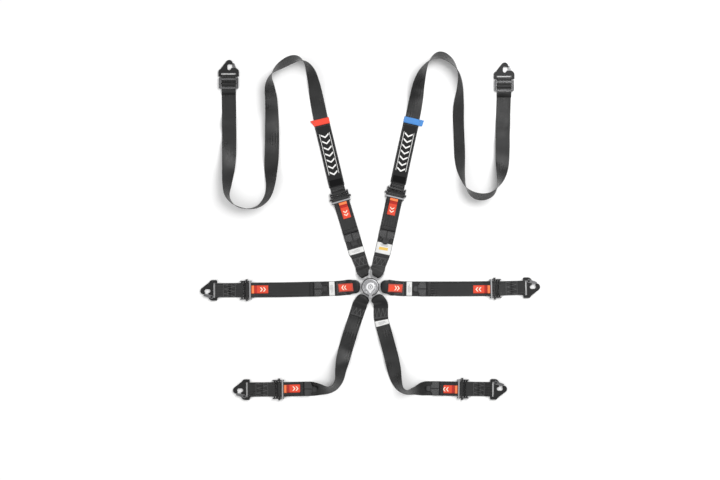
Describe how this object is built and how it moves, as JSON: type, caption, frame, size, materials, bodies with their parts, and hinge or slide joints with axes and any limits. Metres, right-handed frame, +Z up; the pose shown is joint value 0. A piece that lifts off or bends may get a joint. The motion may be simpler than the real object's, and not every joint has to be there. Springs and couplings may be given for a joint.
{
  "type": "racing harness",
  "caption": "Racing harness laid flat: webbing straps with tongues in a round release buckle, adjusters and snap hooks.",
  "frame": {"origin": "middle of the release buckle's flat back, on the surface the harness lies on", "axes": "+Z up out of the buckle's front, +Y towards the shoulder straps, +X towards the strap held in by its bolt"},
  "size_m": [1.1875, 1.22, 0.0503],
  "materials": {
    "webbing": "satin woven",
    "sleeve_fabric": "matte woven",
    "loop_red": "matte woven",
    "loop_blue": "matte woven",
    "hook_black": "satin black coat",
    "gate_steel": "satin black coat",
    "adjuster_black": "satin black coat",
    "lock_steel": "dark knurled",
    "tongue_steel": "satin",
    "base_steel": "satin black coat",
    "housing_plastic": "matte",
    "spindle_steel": "satin",
    "screw_steel": "satin",
    "latch_steel": "satin",
    "spring_steel": "satin",
    "cam_steel": "satin",
    "knob_alloy": "satin turned",
    "cap_alloy": "bright satin"
  },
  "bodies": {
    "buckle": {"buckle_base": "base_steel", "buckle_housing": "housing_plastic", "buckle_spindle": "spindle_steel", "base_screws": "screw_steel", "lap_right_tongue": "tongue_steel"},
    "knob": {"release_knob": "knob_alloy", "knob_cap": "cap_alloy", "release_cam": "cam_steel"},
    "latch": {"latch_plate": "latch_steel", "latch_spring": "spring_steel"},
    "shoulder_left_tongue": {"shoulder_left_tongue": "tongue_steel"},
    "shoulder_left_webbing": {"shoulder_left_strap": "webbing"},
    "shoulder_left_adjuster": {"shoulder_left_adjuster_frame": "adjuster_black", "shoulder_left_long_strap": "webbing", "shoulder_left_slider": "adjuster_black", "shoulder_left_sleeve": "sleeve_fabric", "shoulder_left_colour_loop": "loop_red"},
    "shoulder_left_lock": {"shoulder_left_lock_bar": "lock_steel"},
    "shoulder_left_hook": {"shoulder_left_hook": "hook_black"},
    "shoulder_left_gate": {"shoulder_left_hook_gate": "gate_steel"},
    "shoulder_right_tongue": {"shoulder_right_tongue": "tongue_steel"},
    "shoulder_right_webbing": {"shoulder_right_strap": "webbing"},
    "shoulder_right_adjuster": {"shoulder_right_adjuster_frame": "adjuster_black", "shoulder_right_long_strap": "webbing", "shoulder_right_slider": "adjuster_black", "shoulder_right_sleeve": "sleeve_fabric", "shoulder_right_colour_loop": "loop_blue"},
    "shoulder_right_lock": {"shoulder_right_lock_bar": "lock_steel"},
    "shoulder_right_hook": {"shoulder_right_hook": "hook_black"},
    "shoulder_right_gate": {"shoulder_right_hook_gate": "gate_steel"},
    "lap_left_tongue": {"lap_left_tongue": "tongue_steel"},
    "lap_left_webbing": {"lap_left_strap": "webbing"},
    "lap_left_adjuster": {"lap_left_adjuster_frame": "adjuster_black", "lap_left_anchor_strap": "webbing"},
    "lap_left_lock": {"lap_left_lock_bar": "lock_steel"},
    "lap_left_hook": {"lap_left_hook": "hook_black"},
    "lap_left_gate": {"lap_left_hook_gate": "gate_steel"},
    "lap_right_webbing": {"lap_right_strap": "webbing"},
    "lap_right_adjuster": {"lap_right_adjuster_frame": "adjuster_black", "lap_right_anchor_strap": "webbing"},
    "lap_right_lock": {"lap_right_lock_bar": "lock_steel"},
    "lap_right_hook": {"lap_right_hook": "hook_black"},
    "lap_right_gate": {"lap_right_hook_gate": "gate_steel"},
    "crotch_left_tongue": {"crotch_left_tongue": "tongue_steel"},
    "crotch_left_webbing": {"crotch_left_strap": "webbing"},
    "crotch_left_adjuster": {"crotch_left_adjuster_frame": "adjuster_black", "crotch_left_anchor_strap": "webbing"},
    "crotch_left_lock": {"crotch_left_lock_bar": "lock_steel"},
    "crotch_left_hook": {"crotch_left_hook": "hook_black"},
    "crotch_left_gate": {"crotch_left_hook_gate": "gate_steel"},
    "crotch_right_tongue": {"crotch_right_tongue": "tongue_steel"},
    "crotch_right_webbing": {"crotch_right_strap": "webbing"},
    "crotch_right_adjuster": {"crotch_right_adjuster_frame": "adjuster_black", "crotch_right_anchor_strap": "webbing"},
    "crotch_right_lock": {"crotch_right_lock_bar": "lock_steel"},
    "crotch_right_hook": {"crotch_right_hook": "hook_black"},
    "crotch_right_gate": {"crotch_right_hook_gate": "gate_steel"}
  },
  "joints": [
    {"name": "knob_turn", "type": "hinge", "parent": "buckle", "child": "knob", "pos_m": [0, 0, 0.0203], "axis": [0, 0, 1], "range_deg": [0, 60]},
    {"name": "latch_lift", "type": "slide", "parent": "buckle", "child": "latch", "axis": [0, 0, 1], "range_m": [0, 0.004], "stiffness_N_per_m": 400, "springref_m": -0.003, "deforming": ["latch_spring"]},
    {"name": "shoulder_left_release", "type": "slide", "parent": "buckle", "child": "shoulder_left_tongue", "axis": [-0.454, 0.891, 0], "range_m": [0, 0.008]},
    {"name": "shoulder_left_swing", "type": "hinge", "parent": "shoulder_left_tongue", "child": "shoulder_left_webbing", "pos_m": [-0.02179, 0.04277, 0.0065], "axis": [0.891, 0.454, 0], "range_deg": [0, 35]},
    {"name": "shoulder_left_adjust", "type": "slide", "parent": "shoulder_left_webbing", "child": "shoulder_left_adjuster", "axis": [0.279, -0.9603, 0], "range_m": [-0.05, 0.04], "deforming": ["shoulder_left_strap"]},
    {"name": "shoulder_left_lock_shift", "type": "slide", "parent": "shoulder_left_adjuster", "child": "shoulder_left_lock", "axis": [-0.279, 0.9603, 0], "range_m": [-0.0023, 0.0023]},
    {"name": "shoulder_left_hook_swing", "type": "hinge", "parent": "shoulder_left_adjuster", "child": "shoulder_left_hook", "pos_m": [-0.495, 0.737, 0.0052], "axis": [1, 0, 0], "range_deg": [0, 40]},
    {"name": "shoulder_left_gate_open", "type": "hinge", "parent": "shoulder_left_hook", "child": "shoulder_left_gate", "pos_m": [-0.472, 0.754, 0.0052], "axis": [0, 0, 1], "range_deg": [0, 28], "stiffness_Nm_per_rad": 0.01, "springref_deg": -17.19},
    {"name": "shoulder_right_release", "type": "slide", "parent": "buckle", "child": "shoulder_right_tongue", "axis": [0.454, 0.891, 0], "range_m": [0, 0.008]},
    {"name": "shoulder_right_swing", "type": "hinge", "parent": "shoulder_right_tongue", "child": "shoulder_right_webbing", "pos_m": [0.02179, 0.04277, 0.0065], "axis": [0.891, -0.454, 0], "range_deg": [0, 35]},
    {"name": "shoulder_right_adjust", "type": "slide", "parent": "shoulder_right_webbing", "child": "shoulder_right_adjuster", "axis": [-0.23, -0.9732, 0], "range_m": [-0.05, 0.04], "deforming": ["shoulder_right_strap"]},
    {"name": "shoulder_right_lock_shift", "type": "slide", "parent": "shoulder_right_adjuster", "child": "shoulder_right_lock", "axis": [0.23, 0.9732, 0], "range_m": [-0.0023, 0.0023]},
    {"name": "shoulder_right_hook_swing", "type": "hinge", "parent": "shoulder_right_adjuster", "child": "shoulder_right_hook", "pos_m": [0.468, 0.728, 0.0052], "axis": [1, 0, 0], "range_deg": [0, 40]},
    {"name": "shoulder_right_gate_open", "type": "hinge", "parent": "shoulder_right_hook", "child": "shoulder_right_gate", "pos_m": [0.491, 0.745, 0.0052], "axis": [0, 0, 1], "range_deg": [0, 28], "stiffness_Nm_per_rad": 0.01, "springref_deg": -17.19},
    {"name": "lap_left_release", "type": "slide", "parent": "buckle", "child": "lap_left_tongue", "axis": [-1, 0, 0], "range_m": [0, 0.008]},
    {"name": "lap_left_swing", "type": "hinge", "parent": "lap_left_tongue", "child": "lap_left_webbing", "pos_m": [-0.048, 0, 0.0065], "axis": [0, 1, 0], "range_deg": [0, 35]},
    {"name": "lap_left_adjust", "type": "slide", "parent": "lap_left_webbing", "child": "lap_left_adjuster", "axis": [1, 0.0087, 0], "range_m": [-0.05, 0.04], "deforming": ["lap_left_strap"]},
    {"name": "lap_left_lock_shift", "type": "slide", "parent": "lap_left_adjuster", "child": "lap_left_lock", "axis": [-1, -0.0087, 0], "range_m": [-0.0023, 0.0023]},
    {"name": "lap_left_hook_swing", "type": "hinge", "parent": "lap_left_adjuster", "child": "lap_left_hook", "pos_m": [-0.538, -0.0125, 0.0052], "axis": [-0.0087, 1, 0], "range_deg": [0, 40]},
    {"name": "lap_left_gate_open", "type": "hinge", "parent": "lap_left_hook", "child": "lap_left_gate", "pos_m": [-0.5548, -0.03565, 0.0052], "axis": [0, 0, -1], "range_deg": [0, 28], "stiffness_Nm_per_rad": 0.01, "springref_deg": -17.19},
    {"name": "lap_right_swing", "type": "hinge", "parent": "buckle", "child": "lap_right_webbing", "pos_m": [0.048, 0, 0.0065], "axis": [0, -1, 0], "range_deg": [0, 35]},
    {"name": "lap_right_adjust", "type": "slide", "parent": "lap_right_webbing", "child": "lap_right_adjuster", "axis": [-0.9997, -0.0262, 0], "range_m": [-0.05, 0.04], "deforming": ["lap_right_strap"]},
    {"name": "lap_right_lock_shift", "type": "slide", "parent": "lap_right_adjuster", "child": "lap_right_lock", "axis": [0.9997, 0.0262, 0], "range_m": [-0.0023, 0.0023]},
    {"name": "lap_right_hook_swing", "type": "hinge", "parent": "lap_right_adjuster", "child": "lap_right_hook", "pos_m": [0.5375, -0.0035, 0.0052], "axis": [0.0262, -0.9997, 0], "range_deg": [0, 40]},
    {"name": "lap_right_gate_open", "type": "hinge", "parent": "lap_right_hook", "child": "lap_right_gate", "pos_m": [0.55389, 0.01994, 0.0052], "axis": [0, 0, -1], "range_deg": [0, 28], "stiffness_Nm_per_rad": 0.01, "springref_deg": -17.19},
    {"name": "crotch_left_release", "type": "slide", "parent": "buckle", "child": "crotch_left_tongue", "axis": [-0.5, -0.866, 0], "range_m": [0, 0.008]},
    {"name": "crotch_left_swing", "type": "hinge", "parent": "crotch_left_tongue", "child": "crotch_left_webbing", "pos_m": [-0.024, -0.04157, 0.0065], "axis": [-0.866, 0.5, 0], "range_deg": [0, 35]},
    {"name": "crotch_left_adjust", "type": "slide", "parent": "crotch_left_webbing", "child": "crotch_left_adjuster", "axis": [1, 0.0087, 0], "range_m": [-0.05, 0.01], "deforming": ["crotch_left_strap"]},
    {"name": "crotch_left_lock_shift", "type": "slide", "parent": "crotch_left_adjuster", "child": "crotch_left_lock", "axis": [-1, -0.0087, 0], "range_m": [-0.0023, 0.0023]},
    {"name": "crotch_left_hook_swing", "type": "hinge", "parent": "crotch_left_adjuster", "child": "crotch_left_hook", "pos_m": [-0.424, -0.3597, 0.0052], "axis": [-0.0087, 1, 0], "range_deg": [0, 40]},
    {"name": "crotch_left_gate_open", "type": "hinge", "parent": "crotch_left_hook", "child": "crotch_left_gate", "pos_m": [-0.4408, -0.38285, 0.0052], "axis": [0, 0, -1], "range_deg": [0, 28], "stiffness_Nm_per_rad": 0.01, "springref_deg": -17.19},
    {"name": "crotch_right_release", "type": "slide", "parent": "buckle", "child": "crotch_right_tongue", "axis": [0.5, -0.866, 0], "range_m": [0, 0.008]},
    {"name": "crotch_right_swing", "type": "hinge", "parent": "crotch_right_tongue", "child": "crotch_right_webbing", "pos_m": [0.024, -0.04157, 0.0065], "axis": [-0.866, -0.5, 0], "range_deg": [0, 35]},
    {"name": "crotch_right_adjust", "type": "slide", "parent": "crotch_right_webbing", "child": "crotch_right_adjuster", "axis": [-0.9999, 0.014, 0], "range_m": [-0.05, 0.01], "deforming": ["crotch_right_strap"]},
    {"name": "crotch_right_lock_shift", "type": "slide", "parent": "crotch_right_adjuster", "child": "crotch_right_lock", "axis": [0.9999, -0.014, 0], "range_m": [-0.0023, 0.0023]},
    {"name": "crotch_right_hook_swing", "type": "hinge", "parent": "crotch_right_adjuster", "child": "crotch_right_hook", "pos_m": [0.422, -0.3584, 0.0052], "axis": [-0.014, -0.9999, 0], "range_deg": [0, 40]},
    {"name": "crotch_right_gate_open", "type": "hinge", "parent": "crotch_right_hook", "child": "crotch_right_gate", "pos_m": [0.43932, -0.33564, 0.0052], "axis": [0, 0, -1], "range_deg": [0, 28], "stiffness_Nm_per_rad": 0.01, "springref_deg": -17.19}
  ],
  "couplings": [
    {"joint": "knob_turn", "follows": "latch_lift", "rad_per_m": 261.79},
    {"joint": "shoulder_left_release", "follows": "latch_lift", "ratio": 2},
    {"joint": "shoulder_left_lock_shift", "follows": "shoulder_left_adjust", "ratio": 0.045},
    {"joint": "shoulder_right_release", "follows": "latch_lift", "ratio": 2},
    {"joint": "shoulder_right_lock_shift", "follows": "shoulder_right_adjust", "ratio": 0.045},
    {"joint": "lap_left_release", "follows": "latch_lift", "ratio": 2},
    {"joint": "lap_left_lock_shift", "follows": "lap_left_adjust", "ratio": 0.045},
    {"joint": "lap_right_lock_shift", "follows": "lap_right_adjust", "ratio": 0.045},
    {"joint": "crotch_left_release", "follows": "latch_lift", "ratio": 2},
    {"joint": "crotch_left_lock_shift", "follows": "crotch_left_adjust", "ratio": 0.045},
    {"joint": "crotch_right_release", "follows": "latch_lift", "ratio": 2},
    {"joint": "crotch_right_lock_shift", "follows": "crotch_right_adjust", "ratio": 0.045}
  ]
}
